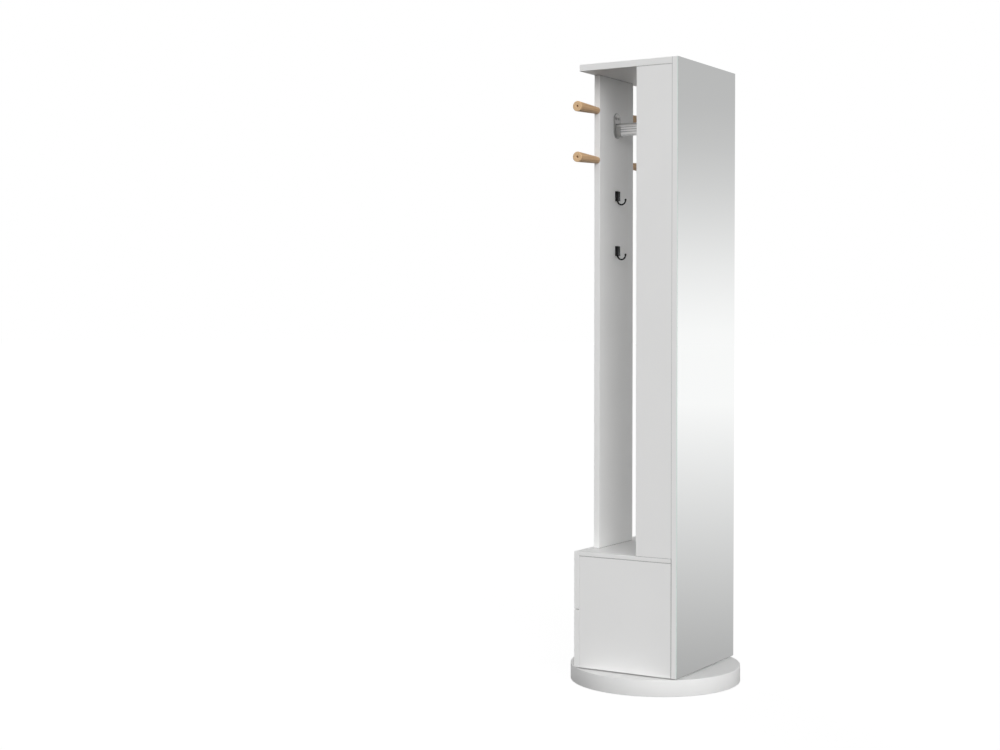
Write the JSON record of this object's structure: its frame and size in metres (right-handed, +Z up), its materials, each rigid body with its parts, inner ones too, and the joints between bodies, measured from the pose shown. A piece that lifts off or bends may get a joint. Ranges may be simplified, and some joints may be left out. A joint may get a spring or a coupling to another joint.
{
  "type": "revolving wardrobe cabinet",
  "caption": "Tall cabinet that turns on a round base: full-height mirror on the front, open hanging space with rail, hooks and pegs behind it, drawers below.",
  "frame": {"origin": "on the floor, under the axis of the turntable bearing, at the middle of the round base", "axes": "+Z up, -Y the way the mirror faces, +Y the way the drawers open, X across the mirror"},
  "size_m": [0.5, 0.5, 1.8],
  "materials": {
    "white_laminate": "satin white laminate on particle board",
    "base_laminate": "satin white lacquer on a thick round board",
    "mirror_glass": "silvered float glass with a polished edge",
    "beech": "pale beech, lightly oiled",
    "rail_aluminium": "satin anodised aluminium with fine grooves",
    "zinc_steel": "zinc-plated steel",
    "screw_steel": "bright steel",
    "black_metal": "black enamel",
    "felt": "grey felt",
    "cage_nylon": "natural nylon",
    "bearing_steel": "polished bearing steel"
  },
  "bodies": {
    "base": {"base_disc": "base_laminate", "foot_pads": "felt", "bearing_lower_ring": "zinc_steel", "bearing_lower_screws": "screw_steel"},
    "ball_cage": {"bearing_cage": "cage_nylon", "bearing_balls": "bearing_steel"},
    "cabinet": {"bearing_upper_ring": "zinc_steel", "bearing_upper_screws": "screw_steel", "bottom_board": "white_laminate", "box_side_left": "white_laminate", "box_side_right": "white_laminate", "deck_board": "white_laminate", "mirror_board": "white_laminate", "mirror_glass": "mirror_glass", "stile_left": "white_laminate", "stile_right": "white_laminate", "peg_panel": "white_laminate", "top_board": "white_laminate", "peg_left_upper": "beech", "peg_left_lower": "beech", "peg_right_upper": "beech", "peg_right_lower": "beech", "peg_screws": "screw_steel", "hanging_rail": "rail_aluminium", "rail_socket_front": "zinc_steel", "rail_socket_rear": "zinc_steel", "rail_socket_screws": "screw_steel", "coat_hook_upper": "black_metal", "coat_hook_lower": "black_metal", "hook_screws": "black_metal", "cam_locks": "zinc_steel", "cam_bolts": "screw_steel", "slide_outer_upper": "zinc_steel", "slide_outer_lower": "zinc_steel", "slide_outer_screws": "screw_steel"},
    "slide_middle_lower": {"slide_middle_lower": "zinc_steel"},
    "drawer_lower": {"drawer_front_lower": "white_laminate", "drawer_side_left_lower": "white_laminate", "drawer_side_right_lower": "white_laminate", "drawer_back_lower": "white_laminate", "drawer_bottom_lower": "white_laminate", "slide_inner_lower": "zinc_steel", "drawer_cams_lower": "zinc_steel", "drawer_bolts_lower": "screw_steel", "drawer_screws_lower": "screw_steel"},
    "slide_middle_upper": {"slide_middle_upper": "zinc_steel"},
    "drawer_upper": {"drawer_front_upper": "white_laminate", "drawer_side_left_upper": "white_laminate", "drawer_side_right_upper": "white_laminate", "drawer_back_upper": "white_laminate", "drawer_bottom_upper": "white_laminate", "slide_inner_upper": "zinc_steel", "drawer_cams_upper": "zinc_steel", "drawer_bolts_upper": "screw_steel", "drawer_screws_upper": "screw_steel"}
  },
  "joints": [
    {"name": "cabinet_revolve", "type": "hinge", "parent": "base", "child": "cabinet", "pos_m": [0, 0, 0.0465], "axis": [0, 0, 1], "continuous": true},
    {"name": "ball_cage_revolve", "type": "hinge", "parent": "base", "child": "ball_cage", "pos_m": [0, 0, 0.0465], "axis": [0, 0, 1], "continuous": true},
    {"name": "drawer_lower_slide", "type": "slide", "parent": "cabinet", "child": "drawer_lower", "axis": [0, 1, 0], "range_m": [0, 0.23]},
    {"name": "slide_middle_lower_slide", "type": "slide", "parent": "cabinet", "child": "slide_middle_lower", "axis": [0, 1, 0], "range_m": [0, 0.115]},
    {"name": "drawer_upper_slide", "type": "slide", "parent": "cabinet", "child": "drawer_upper", "axis": [0, 1, 0], "range_m": [0, 0.23]},
    {"name": "slide_middle_upper_slide", "type": "slide", "parent": "cabinet", "child": "slide_middle_upper", "axis": [0, 1, 0], "range_m": [0, 0.115]}
  ],
  "couplings": [
    {"joint": "ball_cage_revolve", "follows": "cabinet_revolve", "ratio": 0.5},
    {"joint": "slide_middle_lower_slide", "follows": "drawer_lower_slide", "ratio": 0.5},
    {"joint": "slide_middle_upper_slide", "follows": "drawer_upper_slide", "ratio": 0.5}
  ]
}
